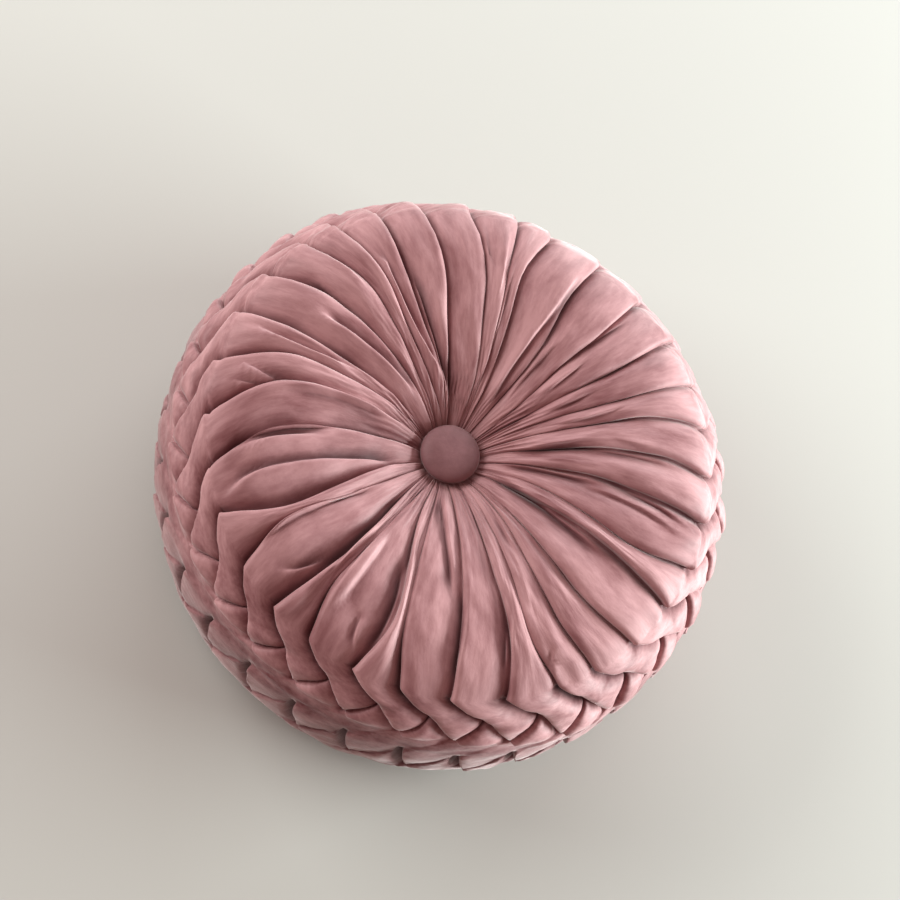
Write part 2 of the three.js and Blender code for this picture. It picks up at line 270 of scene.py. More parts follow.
# Lesser folds of the front face: their height, their breadth, and the points they pass, as
# (degrees, at). The ridge lies at the greater angles, or at the smaller where height is below 0.
Crease = namedtuple("Crease", "height breadth path")
CREASES = [
    Crease(2.2, 7, [(43.5, -0.78), (46.5, -0.65), (47.8, -0.5), (48.2, -0.36)]),
    Crease(2.4, 4, [(40.8, -0.37), (39.6, -0.28), (39.2, -0.2), (38.6, -0.07)]),
    Crease(4.4, 6, [(52, -0.84), (56, -0.7), (57.6, -0.5), (57.4, -0.3), (56.8, -0.08)]),
    Crease(2.0, 5, [(69, -0.8), (71, -0.6), (72.6, -0.4), (73.2, -0.2)]),
    Crease(2.6, 4, [(75, -0.42), (75.8, -0.25), (76.2, -0.05)]),
    Crease(2.0, 5, [(80, -0.26), (80.8, -0.16), (81.6, -0.07)]),
    Crease(4.0, 6, [
        (91, -0.87), (97, -0.75), (100.2, -0.64),
        (102.6, -0.5), (104, -0.33), (104.6, -0.24),
    ]),
    Crease(4.0, 6, [
        (97, -0.8), (102, -0.69), (106.5, -0.6), (109.4, -0.5),
        (110.8, -0.34), (110.8, -0.22), (108.6, -0.13),
    ]),
    Crease(4.0, 5, [(120.4, -0.32), (122.2, -0.2), (124.4, -0.1), (126.2, -0.005)]),
    Crease(5.0, 8, [
        (124.5, -0.82), (128.9, -0.68), (132, -0.55),
        (134.8, -0.42), (136.9, -0.3), (137.4, -0.2),
    ]),
    Crease(-4.0, 5, [(128, -0.4), (129.2, -0.26), (129.8, -0.14), (130, -0.04)]),
    Crease(2.8, 6, [(144, -0.56), (147.4, -0.4), (150.2, -0.2), (151.4, -0.02)]),
    Crease(-4.4, 8, [(156.8, -0.8), (159.4, -0.62), (161, -0.48), (163.8, -0.34), (167, -0.22)]),
    Crease(4.0, 5, [(161.6, -0.3), (161.8, -0.18), (160.8, -0.02)]),
    Crease(3.0, 4, [(163.4, -0.22), (165.2, -0.12), (165.8, -0.02)]),
    Crease(-4.0, 7, [(175.6, -0.56), (176.8, -0.36), (179.6, -0.22), (183, -0.08)]),
    Crease(3.6, 7, [(179.8, -0.5), (181.8, -0.3), (185, -0.06)]),
    Crease(5.6, 9, [
        (193, -0.84), (190.2, -0.64), (189.2, -0.46),
        (189.6, -0.28), (191.4, -0.12), (195.4, -0.001),
    ]),
    Crease(-4.0, 7, [(209, -0.72), (206.4, -0.52), (205.8, -0.34), (207, -0.18), (209.4, -0.04)]),
    Crease(2.4, 5, [(220.4, -0.32), (217.6, -0.16), (213.6, -0.06)]),
    Crease(2.6, 5, [(224, -0.62), (223.6, -0.45), (224.4, -0.2)]),
    Crease(5.0, 6, [(228.6, -0.54), (228.8, -0.4), (229.8, -0.24), (230.6, -0.08)]),
    Crease(-3.0, 6, [(231.4, -0.6), (231.8, -0.4), (232.2, -0.26), (232, -0.1)]),
    Crease(3.0, 5, [(238.6, -0.24), (239.2, -0.12), (241.6, -0.03)]),
    Crease(4.0, 5, [(240.5, -0.52), (243.2, -0.42), (244.4, -0.3), (244, -0.15), (242, -0.06)]),
    Crease(5.0, 7, [(253.5, -0.93), (257.4, -0.81), (260.4, -0.66), (262.4, -0.52), (263.2, -0.38)]),
    Crease(3.0, 6, [(269, -0.46), (267.6, -0.26), (264.4, -0.02)]),
    Crease(2.8, 5, [(283, -0.38), (281, -0.26), (278.6, -0.1)]),
    Crease(2.0, 4, [(280, -0.32), (277.6, -0.16), (276.6, -0.06)]),
    Crease(2.6, 5, [(299, -0.8), (296, -0.68), (293.4, -0.54)]),
    Crease(2.0, 5, [(290.4, -0.16), (288.6, -0.05)]),
    Crease(4.4, 6, [(333, -0.92), (328, -0.76), (324.4, -0.62), (322.2, -0.5), (320.4, -0.33)]),
    Crease(2.0, 5, [(343.6, -0.56), (341.6, -0.34), (338, -0.06)]),
    Crease(2.4, 5, [(346.6, -0.42), (343.6, -0.2), (340, -0.01)]),
    Crease(4.4, 6, [(345, -0.93), (346.4, -0.76), (346.2, -0.6), (345.4, -0.42)]),
    Crease(2.0, 5, [(361, -0.56), (359, -0.36), (355.4, -0.12)]),
    Crease(3.4, 6, [(361, -0.82), (363.8, -0.65), (364, -0.52), (363, -0.44)]),
    Crease(2.0, 4, [(365, -0.44), (362, -0.3), (359, -0.16)]),
    Crease(2.0, 4, [(14, -0.66), (15, -0.48), (15.4, -0.3)]),
    Crease(2.2, 6, [(23, -0.7), (24, -0.52), (24.6, -0.36)]),
    Crease(2.2, 6, [(32, -0.68), (35, -0.5), (36.4, -0.3)]),
]
# A lesser fold fades and spreads over CREASE_ENDS. Its breadth is kept under a share of the
# radius, and its height under a share of its breadth.
CREASE_ENDS = 28
CREASE_SPREAD = 0.8
BREADTH_MOST = 0.16
HEIGHT_MOST = 0.5
# Its ridge and valley as shares of its height, with how steeply both fall away, the stretch over
# which one becomes the other, and how far the ridge hangs over the valley
RIDGE = 0.6
VALLEY = 0.8
VALLEY_BREADTH = 0.8
CREASE_FALL = 1.6
STEP_START = -0.16
STEP_END = 0.22
CREASE_OVERHANG = 0.3
OVERHANG_BREADTH = 0.5
# Sample lines of the face crowd closer within this reach of a lesser fold. How closely is worked
# out from this many samples of each fold.
CROWDING = 5
CROWDING_REACH = 1.8
CROWDING_SAMPLES = 81

# Fine pleats that the gather lays round the button, with the radii between which they rise and
# those between which they end. Waves of unlike counts make them uneven.
PLEATS = 62
PLEAT_HEIGHT = 0.9
PLEAT_WANDER = 3
PLEAT_TWIST = 2
PLEAT_SHARPNESS = 0.7
PLEAT_START = (19, 24)
PLEAT_END = (38, 80)
PLEAT_FULL_RADIUS = 34
Wave = namedtuple("Wave", "height count phase twist")
WANDER_WAVES = [
    Wave(0.5, 3, 1, 0),
    Wave(0.4, 7, 0, 6),
    Wave(0.3, 11, 2, 0),
]
STRONG_WAVE = Wave(1, 9, 0.5, 0)
WEAK_WAVE = Wave(1, 4, 2, 0)

# Soft unevenness of the cloth outside the gather, and the radii between which it sets in
Uneven = namedtuple("Uneven", "height size seed")
UNEVEN = [
    Uneven(0.5, 34, 5),
    Uneven(0.16, 12, 6),
]
UNEVEN_START = (25, 70)
NOISE_WAVES = 40
# The cloth's own coordinates: round it on this radius, and this far for each step of at
NAP_RADIUS = 150
NAP_LENGTH = 60
# A shift round the cover turns a point as if it lay at least this far out
LEAST_RADIUS = 10

# Heights that count as one whole crest, and how much of one the side is short of, which paints the
# side darker as painted shade, with the stations between which that sets in
LONG_CREST = 8
CROSS_CREST = 6
RELIEF_CREST = 2.8
SIDE_SHADE = 0.55
SIDE_SHADE_START = (0.9, 1.4)

# Where each fold is sampled, as a share of one fold, closest at the crest. The side uses
# every second one.
FINE_SAMPLES = [
    0, 0.014, 0.032, 0.054, 0.08, 0.11, 0.146, 0.19, 0.24, 0.292, 0.346, 0.402,
    0.458, 0.514, 0.57, 0.626, 0.682, 0.738, 0.792, 0.842, 0.886, 0.926, 0.956, 0.98,
]
SAMPLES = FINE_SAMPLES[::2]
COLUMNS = FOLD_COUNT * len(SAMPLES)
FINE_COLUMNS = 2 * COLUMNS
FACE_ROWS = 58
SIDE_ROWS = 2 * BAND_ROWS * len(SAMPLES)
BACK_ROWS = 14

BUTTON_SECTION = [
    (0, 0),
    (16, 0),
    (19.3, 2.2),
    (20, 4.8),
    (18.8, 7.6),
    (15.5, 9.6),
    (10, 11),
    (5, 11.5),
    (0, 11.6),
]
BUTTON_SIDES = 96

# Colours of the pile, darkest and palest, and the painted shade deep in the folds and pockets
COVER_DEEP = (0.155, 0.034, 0.04)
COVER_BRIGHT = (0.47, 0.235, 0.245)
COVER_SHEEN = 0.5
PAINTED_SHADE_COLOUR = (0.055, 0.012, 0.016)
BUTTON_DEEP = (0.17, 0.068, 0.075)
BUTTON_BRIGHT = (0.24, 0.105, 0.115)
BUTTON_SHEEN = 0.35
SHEEN_ROUGHNESS = 0.42
SHEEN_TINT = (1, 0.86, 0.86, 1)
SPECULAR = 0.3
# The range of crests that get a painted highlight, and of troughs that get painted shade, with how
# much they do
HIGHLIGHT_CREST = ((-0.9, 0.35), (0, 0.4))
SHADE_CREST = ((-0.3, -1.1), (0, 0.78))
# Procedural grains: noise of so many waves a metre, its detail, how much longer it is along the
# nap than across, the part of the noise that counts, and the values that part becomes
Grain = namedtuple("Grain", "scale detail stretch counts values")
BRUSHED = Grain(22, 3, 1, (0.36, 0.64), (-0.18, 0.2))
MOTTLED = Grain(60, 6, 1, (0.36, 0.64), (0, 0.4))
STREAKED = Grain(260, 4, 2, (0.38, 0.62), (0, 0.24))
BUTTON_WORN = Grain(30, 2, 1, (0.3, 0.7), (0.2, 0.5))
ROUGHNESS = Grain(60, 4, 1, (0.3, 0.7), (0.5, 0.66))
COARSE_BUMP = Grain(110, 4, 1, (0, 1), (0, 1))
FINE_BUMP = Grain(900, 3, 1, (0, 1), (0, 0.25))
GRAIN_ROUGHNESS = 0.62
BUMP_STRENGTH = 0.3
BUMP_DISTANCE = 0.0012

# The camera stands at the photograph's angle to the face, in metres, with a lens in millimetres
TILT = math.radians(23.5)
TILT_AXIS = math.radians(55)
TARGET = Vector((0, 0, 0.071))
DISTANCE = 1.5
LENS = 91
SENSOR = 36
IMAGE_SIZE = 900
SHIFT_X = 6.5 / IMAGE_SIZE
SHIFT_Y = 26.8 / IMAGE_SIZE

# Soft boxes, placed by their direction from the cushion in degrees, in metres and watts
Lamp = namedtuple("Lamp", "name azimuth elevation distance width height power colour")
LAMPS = [
    Lamp("key", 354, 9, 2.0, 1.6, 0.5, 126, (0.86, 1, 0.98)),
    Lamp("side", 70, 16, 2.0, 2.0, 1.0, 40, (0.86, 0.98, 1)),
    Lamp("fill", 148, 26, 2.0, 1.6, 1.2, 42, (0.94, 1, 0.97)),
]
# Warm light from all round, and a pale floor that reaches this many metres each way
WORLD_COLOUR = (1, 0.72, 0.64, 1)
WORLD_STRENGTH = 0.4
FLOOR_REACH = 4
FLOOR_COLOUR = (0.5, 0.48, 0.455, 1)
FLOOR_ROUGHNESS = 0.9


def curve_through(rows, column):
    """A smooth curve through one column of a table whose rows are placed by their at."""
    at = np.array([row.at for row in rows], float)
    value = np.array([getattr(row, column) for row in rows], float)
    index = np.arange(len(at))
    before = np.maximum(index - 1, 0)
    after = np.minimum(index + 1, len(at) - 1)
    slope = (value[after] - value[before]) / (at[after] - at[before])

    def curve(x):
        x = np.asarray(x, float)
        i = np.clip(np.searchsorted(at, x), 1, len(at) - 1)
        span = at[i] - at[i - 1]
        t = np.clip((x - at[i - 1]) / span, 0, 1)
        rise = value[i] - value[i - 1]
        curl = (slope[i - 1] * span - rise) * (1 - t) + (rise - slope[i] * span) * t
        return value[i - 1] + rise * t + t * (1 - t) * curl

    return curve


def smooth_step(x, low, high):
    """0 below low and 1 above high, with a smooth rise between them."""
    t = np.clip((x - low) / (high - low), 0, 1)
    return t * t * (3 - 2 * t)


def turned_to(degrees):
    """The same angle, from -180 to 180 degrees."""
    return (degrees + 180) % 360 - 180


def smooth_noise(spot, size, seed):
    """Soft seeded noise made of waves, of about unit height, at coordinates in millimetres."""
    rng = np.random.default_rng(seed)
    total = np.zeros_like(spot[0])
    for _ in range(NOISE_WAVES):
        k = rng.normal(size=3) * 2 * np.pi / size
        total += np.cos(k[0] * spot[0] + k[1] * spot[1] + k[2] * spot[2] + rng.uniform(0, 2 * np.pi))
    return total / math.sqrt(NOISE_WAVES / 2)


section_radius = curve_through(SECTION, "r")
section_height = curve_through(SECTION, "z")
lattice_row = curve_through(LATTICE, "row")
lattice_drift = curve_through(LATTICE, "drift")

Point = namedtuple("Point", "at angle")
STRAY_CURVES = [curve_through(sorted(map(Point, STRAY_AT, stray)), "angle") for stray in STRAYS]


def fold_angle(place):
    """Angle round the cover of a place that is counted in folds."""
    return FIRST_FOLD + FOLD_PITCH * place


def strays_beside(place, at):
    """Strays in degrees of the fold before each place, and of the fold after it."""
    on_face = np.minimum(at, 0)
    strays = np.stack([curve(on_face) for curve in STRAY_CURVES], axis=-1)
    k = np.floor(place).astype(int)
    rows = np.arange(len(place))
    return strays[rows, k % FOLD_COUNT], strays[rows, (k + 1) % FOLD_COUNT]


def stray_at(place, station, at):
    """Stray in degrees between the folds, which fades out down the side."""
    before, after = strays_beside(place, at)
    share = place - np.floor(place)
    fade = 1 - smooth_step(station, 0, STRAY_ROWS)
    return (before + (after - before) * share) * fade


def fold_width(place, at):
    """Width of the fold at each place, in millimetres."""
    before, after = strays_beside(place, at)
    return np.radians(FOLD_PITCH + after - before) * section_radius(at)


def near(place, angle, breadth):
    """1 for folds at an angle round the cover, falling to 0 away from it."""
    return np.exp(-((turned_to(fold_angle(place) - angle) / breadth) ** 2))


def flatness(place):
    """The share of a fold's full height that is lost where the face lies flatter."""
    return sum(flat.share * near(place, flat.angle, flat.breadth) for flat in FLATS)


def shoulder_rows(place):
    """How many rows of the side the face takes at each place."""
    return SHOULDER_ROWS * near(place, SHOULDER_ANGLE, SHOULDER_BREADTH)


def face_at(station, place):
    """Where on the section a row of the face lies, drawn over the shoulder where it stands out."""
    return station + shoulder_rows(place) * smooth_step(station, SHOULDER_START, 0)


def knots(station, long):
    """Where the lattice points of the side lie: their at, and their place round in folds."""
    place = long + lattice_drift(station)
    share = np.minimum(station, np.maximum(0, (SAG_END - station) / (SAG_END - 1)))
    sag = SAG_ROWS * near(place, SAG_ANGLE, SAG_BREADTH) * np.clip(share, 0, 1)
    shoulder = shoulder_rows(place) * (1 - smooth_step(station, 0, SHOULDER_END))
    return lattice_row(station) + sag + shoulder, place


def strip_lean(station, turns):
    """Angle between the straight way down the side and a strip that turns so much more a row."""
    above = station - SLOPE_STEP
    below = station + SLOPE_STEP
    drift = lattice_drift(below) - lattice_drift(above)
    round_it = (drift - turns * 2 * SLOPE_STEP) * PITCH_LENGTH
    down_it = (lattice_row(below) - lattice_row(above)) * ROW_LENGTH
    return np.arctan2(round_it, np.maximum(down_it, LEAST_DROP))


def fold_at(rows, at):
    """The fold of a table at each at, with every column read off its curve."""
    return Fold(*(np.maximum(curve_through(rows, name)(at), 0) for name in Fold._fields))


def roll_turn(share):
    """Angle by which each point has come round the rolled edge."""
    return np.clip(share / ROLL_SHARE, 0, 1) * np.pi / 2


def wall_climbed(share):
    """How far each point has come up the wall to the next fold."""
    return np.clip((share - WALL_SHARE) / (1 - WALL_SHARE), 0, 1)


def fold_height(share, fold):
    """Height over the mean surface at each share of a fold."""
    roll_up = np.minimum(fold.roll, ROLL_UP_MOST * fold.height)
    rolled = fold.height - roll_up * (1 - np.sin(roll_turn(share)))
    slope = np.clip((share - ROLL_SHARE) / (fold.foot - ROLL_SHARE), 0, 1)
    level = fold.height * (1 - slope**fold.fullness)
    level = level - fold.slit * smooth_step(share, fold.foot - SLIT_SHARE, WALL_SHARE)
    level = np.where(share < ROLL_SHARE, rolled, level)
    wall = wall_climbed(share)
    level = level * (1 - wall) + (fold.height - roll_up) * wall
    return level - fold.height * (1 - fold.over)


def fold_shift(share, fold, width):
    """Shift towards the fold's open side at each share of it, which makes its edge hang over."""
    roll_out = np.minimum(fold.roll, ROLL_OUT_MOST * width)
    edge = roll_out * (1 - np.cos(roll_turn(share))) - fold.overhang
    across = np.clip((share - ROLL_SHARE) / (WALL_SHARE - ROLL_SHARE), 0, 1)
    under = width - fold.overhang + UNDER_ROLL * roll_out
    place = edge + (under - roll_out + fold.overhang) * across
    wall = wall_climbed(share)
    place = place * (1 - wall) + (width - fold.overhang) * wall
    return (share * width - place) * smooth_step(fold.height, 0, FULL_FOLD)


def crease_distance(crease, degrees, at):
    """Distance from a lesser fold's line towards greater angles, and how far it has faded in."""
    points = sorted(Point(at_here, angle) for angle, at_here in crease.path)
    low = points[0].at
    high = points[-1].at
    line = curve_through(points, "angle")(np.clip(at, low, high))
    ends = np.minimum(at - low, high - at) * FACE_LENGTH
    fade = smooth_step(ends, 0, min(0.5 * (high - low) * FACE_LENGTH, CREASE_ENDS))
    return np.radians(turned_to(degrees - line)) * section_radius(at), fade


def crease_relief(degrees, at):
    """Height that the lesser folds of the front face add, and their shift to smaller angles."""
    radius = section_radius(at)
    height = np.zeros_like(at)
    shift = np.zeros_like(at)
    for crease in CREASES:
        d, fade = crease_distance(crease, degrees, at)
        spread = 1 + CREASE_SPREAD * (1 - fade)
        breadth = np.minimum(crease.breadth, BREADTH_MOST * radius) * spread
        size = np.minimum(crease.height, HEIGHT_MOST * breadth) * fade
        step = smooth_step(d, STEP_START * breadth, STEP_END * breadth)
        above = np.maximum(d, 0) / breadth
        below = np.maximum(-d, 0) / (VALLEY_BREADTH * breadth)
        ridge = RIDGE * np.exp(-(above**CREASE_FALL))
        valley = VALLEY * np.exp(-(below**CREASE_FALL))
        height += size * (step * ridge - (1 - step) * valley)
        shift += CREASE_OVERHANG * size * step * np.exp(-((above / OVERHANG_BREADTH) ** 2))
    return height, shift


def wave_at(wave, angle, at):
    """Height of a slow wave round the button."""
    return wave.height * np.sin(wave.count * angle + wave.phase + wave.twist * at)


def pleat_relief(degrees, at):
    """Fine pleats that the gather lays around the button."""
    radius = section_radius(at)
    angle = np.radians(degrees)
    wander = sum(wave_at(wave, angle, at) for wave in WANDER_WAVES)
    pleat = np.cos(PLEATS * angle + PLEAT_WANDER * wander + PLEAT_TWIST * at)
    strength = 0.5 + 0.5 * wave_at(STRONG_WAVE, angle, at) * wave_at(WEAK_WAVE, angle, at)
    rise = smooth_step(radius, *PLEAT_START) * (1 - smooth_step(radius, *PLEAT_END))
    rise = rise * np.minimum(1, radius / PLEAT_FULL_RADIUS)
    return PLEAT_HEIGHT * rise * strength * (1 - 2 * np.abs(pleat) ** PLEAT_SHARPNESS)


# Points of the cover, as one array each: long counts the folds from the front, cross those that
# cross them on the side, and place is where a point lies round the cover, in folds
Places = namedtuple("Places", "station at place long cross")
# What a set of folds adds to its points, in millimetres: outwards, round, and down the section
Offset = namedtuple("Offset", "height turn down")


def on_side(station):
    """Which points lie on the side."""
    return (station >= 0) & (station <= BAND_ROWS)


def side_station(station):
    """Each point's station, kept within the side."""
    return np.clip(station, 0, BAND_ROWS)


def section_frame(at):
    """The section's radius and height, and its directions in both, down along it and out of it."""
    dr = section_radius(at + SLOPE_STEP) - section_radius(at - SLOPE_STEP)
    dz = section_height(at + SLOPE_STEP) - section_height(at - SLOPE_STEP)
    size = np.hypot(dr, dz)
    return section_radius(at), section_height(at), (dr / size, dz / size), (-dz / size, dr / size)


def long_lean(station):
    """Angle by which the folds from the front lean round the side."""
    v = side_station(station)
    fade = smooth_step(v, 0, LEAN_START) * (1 - smooth_step(v, LEAN_END, BAND_ROWS))
    return np.where(on_side(station), strip_lean(v, 0) * fade, 0)


def long_fold(places, width):
    """The fold from the front that each point lies on, a little different from its neighbours."""
    fold = fold_at(LONG_FOLDS, places.station)
    k = np.floor(places.long).astype(int) % FOLD_COUNT
    rng = np.random.default_rng(FOLD_SEED)
    higher = rng.uniform(*HIGHER, FOLD_COUNT)[k]
    fuller = rng.uniform(*FULLER, FOLD_COUNT)[k]
    on_face = 1 - smooth_step(places.station, -FULLER_END, FULLER_END)
    flat = flatness(places.long) * (1 - smooth_step(places.station, -FLAT_END, FLAT_END))
    steep = np.minimum(1, STEEPEST * width / np.maximum(fold.height, LEAST_HEIGHT))
    lowered = (1 - flat) * np.where(places.station < 0, steep, 1)
    return fold._replace(
        height=fold.height * lowered * higher,
        slit=fold.slit * lowered,
        overhang=fold.overhang * lowered,
        foot=fold.foot + FLAT_FOOT * flat,
        fullness=fold.fullness * (1 + (fuller - 1) * on_face),
    )


def long_offset(places, fold, width, lean):
    """What the folds from the front add."""
    share = places.long - np.floor(places.long)
    back = smooth_step(places.station, BAND_ROWS - HANG_END, BAND_ROWS + HANG_END)
    shift = fold_shift(share, fold, width) * (1 - back)
    return Offset(fold_height(share, fold), -shift * np.cos(lean), shift * np.sin(lean))


def cross_offset(places, long_height):
    """What the cross folds of the side add, less of it near a long fold's edge."""
    v = side_station(places.station)
    side = on_side(places.station)
    fold = fold_at(CROSS_FOLDS, np.where(side, v, -1))
    lean = strip_lean(v, CROSS_TURNS)
    share = places.cross - np.floor(places.cross)
    long_share = places.long - np.floor(places.long)
    edge = np.clip(long_height / EDGE_HEIGHT, 0, 1) * (1 - smooth_step(long_share, 0, EDGE_SHARE))
    shift = fold_shift(share, fold, PITCH_LENGTH * np.cos(lean))
    shift = np.where(side, shift, 0) * (1 - edge)
    height = np.where(side, fold_height(share, fold), 0) * (1 - EDGE_LOSS * edge)
    return Offset(height, -shift * np.cos(lean), shift * np.sin(lean))


def nap_spot(places):
    """The cloth's own coordinates in millimetres, which its unevenness and its pile follow."""
    angle = np.radians(fold_angle(places.long))
    return [NAP_RADIUS * np.cos(angle), NAP_RADIUS * np.sin(angle), places.at * NAP_LENGTH]


def unevenness(spot, radius):
    """Soft unevenness of the cloth, which the gather pulls flat."""
    rise = smooth_step(radius, *UNEVEN_START)
    return rise * sum(part.height * smooth_noise(spot, part.size, part.seed) for part in UNEVEN)


def placed(degrees, height, turn, down, places):
    """Points in millimetres, from their angle and what is added to the section there."""
    r, z, (down_r, down_z), (out_r, out_z) = section_frame(places.at)
    angle = np.radians(degrees) + turn / np.maximum(r, LEAST_RADIUS)
    reach = (r + out_r * height + down_r * down) * (1 - OVAL * np.cos(2 * angle))
    pull = np.clip(1 - (r / GATHER_REACH) ** 2, 0, 1) ** 2
    pull = np.where(places.station < 0, pull, 0)
    x = reach * np.cos(angle) + GATHER_X * pull
    y = reach * np.sin(angle) + GATHER_Y * pull
    return np.stack([x, y, np.maximum(0, z + out_z * height + down_z * down)], axis=-1)


def cover_points(places):
    """The cover's points in millimetres, their own coordinates in metres, and their crests."""
    lean = long_lean(places.station)
    width = fold_width(places.long, places.at) * np.cos(lean)
    fold = long_fold(places, width)
    long_part = long_offset(places, fold, width, lean)
    cross_part = cross_offset(places, fold.height)
    degrees = fold_angle(places.place) + stray_at(places.place, places.station, places.at)
    creases, crease_shift = crease_relief(degrees, places.at)
    relief = creases + pleat_relief(degrees, places.at)
    spot = nap_spot(places)
    height = long_part.height + cross_part.height + relief
    height = height + unevenness(spot, section_radius(places.at))
    turn = long_part.turn + cross_part.turn - crease_shift
    points = placed(degrees, height, turn, long_part.down + cross_part.down, places)
    crest = long_part.height / LONG_CREST + cross_part.height / CROSS_CREST + relief / RELIEF_CREST
    # Painted shade: the side counts as lower, so it gets less painted highlight and more painted
    # shade.
    crest = crest - SIDE_SHADE * smooth_step(places.station, *SIDE_SHADE_START)
    return points, np.stack(spot, axis=-1) * MM, crest


def line_at(i, samples):
    """Where sample line i lies, counted in folds."""
    n = len(samples)
    return i // n + np.array(samples)[i % n]


def gathered(long, station):
    """The face's sample lines, drawn together where lesser folds run."""
    shares = np.linspace(ROLL_SHARE, WALL_SHARE, CROWDING_SAMPLES)
    grid = (np.arange(FOLD_COUNT)[:, None] + shares[None, :]).ravel()
    at = face_at(station, grid)
    degrees = fold_angle(grid) + stray_at(grid, station, at)
    density = np.ones(len(grid))
    for crease in CREASES:
        d, fade = crease_distance(crease, degrees, at)
        density += CROWDING * fade * np.exp(-((d / CROWDING_REACH) ** 2))
    density = density.reshape(FOLD_COUNT, -1)
    total = np.cumsum((density[:, 1:] + density[:, :-1]) / 2, axis=1)
    total = np.concatenate([np.zeros((FOLD_COUNT, 1)), total], axis=1)
    total /= total[:, -1:]
    k = np.floor(long)
    middle = (long - k > ROLL_SHARE) & (long - k < WALL_SHARE)
    out = long.copy()
    for fold in range(FOLD_COUNT):
        mine = middle & (k == fold)
        wanted = (long[mine] - fold - ROLL_SHARE) / (WALL_SHARE - ROLL_SHARE)
        out[mine] = fold + np.interp(wanted, total[fold], shares)
    return out


def face_places():
    """The rows of the front face, from the gather to the shoulder."""
    long = line_at(np.arange(FINE_COLUMNS), FINE_SAMPLES)
    rows = []
    for station in np.linspace(-1, 0, FACE_ROWS + 1)[:-1]:
        lines = gathered(long, station)
        stations = np.full(FINE_COLUMNS, station)
        rows.append(Places(stations, face_at(station, lines), lines, lines, np.zeros(FINE_COLUMNS)))
    return rows


def side_places():
    """The rows of the side, each half a cross fold further down than the one before."""
    columns = np.arange(COLUMNS)
    long = line_at(columns, SAMPLES)
    rows = []
    for row in range(SIDE_ROWS + 1):
        cross = line_at(columns + row, SAMPLES)
        station = (cross - long) / 2
        at, place = knots(station, long)
        rows.append(Places(station, at, place, long, cross))
    return rows


def back_places():
    """The rows of the back, from the side to its gather."""
    long = line_at(np.arange(COLUMNS), SAMPLES)
    place = long + LATTICE[-1].drift
    rows = []
    for station in np.linspace(BAND_ROWS, BAND_ROWS + 1, BACK_ROWS + 1)[1:]:
        at = np.full(COLUMNS, station)
        rows.append(Places(at, at, place, long, np.zeros(COLUMNS)))
    return rows


def face_point(row, column):
    """Number of a point of the front face. Point 0 is the middle of the front gather."""
    return 1 + row * FINE_COLUMNS + column % FINE_COLUMNS


def side_point(row, column):
    """Number of a point of the side or the back."""
    return 1 + FACE_ROWS * FINE_COLUMNS + row * COLUMNS + column % COLUMNS


def quad(point, row, column):
    """The four points round a cell of a grid."""
    return (
        point(row, column),
        point(row + 1, column),
        point(row + 1, column + 1),
        point(row, column + 1),
    )


def front_faces(column):
    """The mesh's faces in one column of the front face."""
    middle = (0, face_point(0, column), face_point(0, column + 1))
    return [middle] + [quad(face_point, row, column) for row in range(FACE_ROWS - 1)]


def shoulder_faces(column):
    """The mesh's faces that join two columns of the front face to one of the side."""
    before, middle, after = (face_point(FACE_ROWS - 1, 2 * column + i) for i in range(3))
    here = side_point(0, column)
    following = side_point(0, column + 1)
    return [
        (before, here, middle),
        (middle, here, following),
        (middle, following, after),
        (here, side_point(1, column), following),
    ]


def side_faces(column):
    """The mesh's faces in one column of the side, which slant by one column a row."""
    faces = []
    for row in range(1, SIDE_ROWS):
        below = side_point(row + 1, column)
        beside = side_point(row, column + 1)
        faces.append((side_point(row, column), below, beside, side_point(row - 1, column + 1)))
    last = side_point(SIDE_ROWS, column)
    beside = side_point(SIDE_ROWS, column + 1)
    return faces + [(last, beside, side_point(SIDE_ROWS - 1, column + 1))]


def back_faces(column, middle):
    """The mesh's faces in one column of the back, up to the middle of its gather."""
    last = SIDE_ROWS + BACK_ROWS
    faces = [quad(side_point, row, column) for row in range(SIDE_ROWS, last)]
    return faces + [(middle, side_point(last, column + 1), side_point(last, column))]


def smooth_mesh(name, points, faces):
    """A smooth-shaded mesh of points in millimetres."""
    mesh = bpy.data.meshes.new(name)
    mesh.from_pydata((np.array(points) * MM).tolist(), [], faces)
    mesh.polygons.foreach_set("use_smooth", [True] * len(mesh.polygons))
    return mesh


def cover_mesh():
    """The whole cover, closed at both gathers, with its own coordinates and its crests."""
    rows = face_places() + side_places() + back_places()
    places = Places(*(np.concatenate(column) for column in zip(*rows)))
    points, nap, crest = cover_points(places)
    front_middle = [GATHER_X, GATHER_Y, SEAT_HEIGHT]
    back_middle = [0, 0, BACK_SEAT_HEIGHT]
    points = np.concatenate([[front_middle], points, [back_middle]])
    nap = np.concatenate([nap[:1], nap, nap[-1:]])
    crest = np.concatenate([[0], crest, [0]])
    faces = []
    for column in range(FINE_COLUMNS):
        faces += front_faces(column)
    for column in range(COLUMNS):
        faces += shoulder_faces(column)
        faces += side_faces(column)
        faces += back_faces(column, len(points) - 1)
    mesh = smooth_mesh("cover_cloth", points, faces)
    mesh.attributes.new("nap", "FLOAT_VECTOR", "POINT").data.foreach_set("vector", nap.ravel())
    mesh.attributes.new("crest", "FLOAT", "POINT").data.foreach_set("value", crest)
    mesh.update()
    return mesh


def ranged(tree, value, counts, values):
    """A value's range turned into another range."""
    node = tree.nodes.new("ShaderNodeMapRange")
    node.inputs["From Min"].default_value = counts[0]
    node.inputs["From Max"].default_value = counts[1]
    node.inputs["To Min"].default_value = values[0]
    node.inputs["To Max"].default_value = values[1]
    tree.links.new(value, node.inputs["Value"])
    return node.outputs["Result"]


